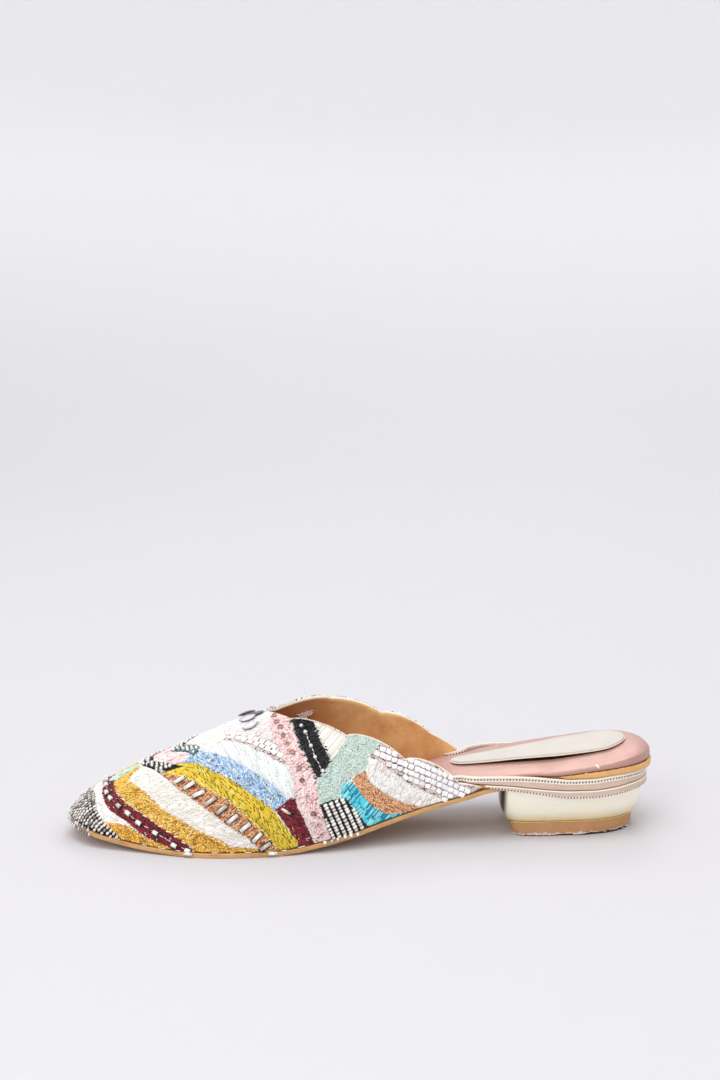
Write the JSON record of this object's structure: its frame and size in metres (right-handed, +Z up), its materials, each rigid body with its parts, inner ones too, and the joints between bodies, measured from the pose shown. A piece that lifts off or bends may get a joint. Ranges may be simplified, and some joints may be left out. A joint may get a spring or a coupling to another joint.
{
  "type": "khussa mule",
  "caption": "Backless khussa mule for the left foot: embroidered hollow upper with a scalloped collar, flat sole with a low gold block heel and a padded insole.",
  "frame": {"origin": "centre of the whole shoe's bounding box in plan, at the height of the floor that it stands on", "axes": "+X from the toe towards the heel, +Y towards the inner side of the foot, +Z up"},
  "size_m": [0.2592, 0.082, 0.0568],
  "materials": {
    "sole_leather": "tan leather sole, edge burnished",
    "heel_foil": "pale gold mirror foil over a moulded heel",
    "heel_lift": "tan top piece, cut edge slightly worn",
    "board_leather": "golden tan, satin",
    "rand_leather": "pinkish beige metallic leather, stitched and piped",
    "insole_leather": "rose gold satin",
    "pad_leather": "grey beige with a cream cut edge",
    "upper_fabric": "cloth covered with thread embroidery and beads",
    "embroidery_thread": "twisted silky thread in many colours",
    "lining_suede": "tan suede, matt",
    "glass_beads": "pearly and clear seed beads",
    "metal_beads": "silver beads, bugles and sequins"
  },
  "bodies": {
    "root": {"outsole": "sole_leather", "heel_block": "heel_foil", "heel_top_piece": "heel_lift", "insole_board": "board_leather", "rand_upper": "rand_leather", "rand_lower": "rand_leather", "footbed": "insole_leather", "heel_pad": "pad_leather", "upper": "upper_fabric"}
  },
  "joints": []
}
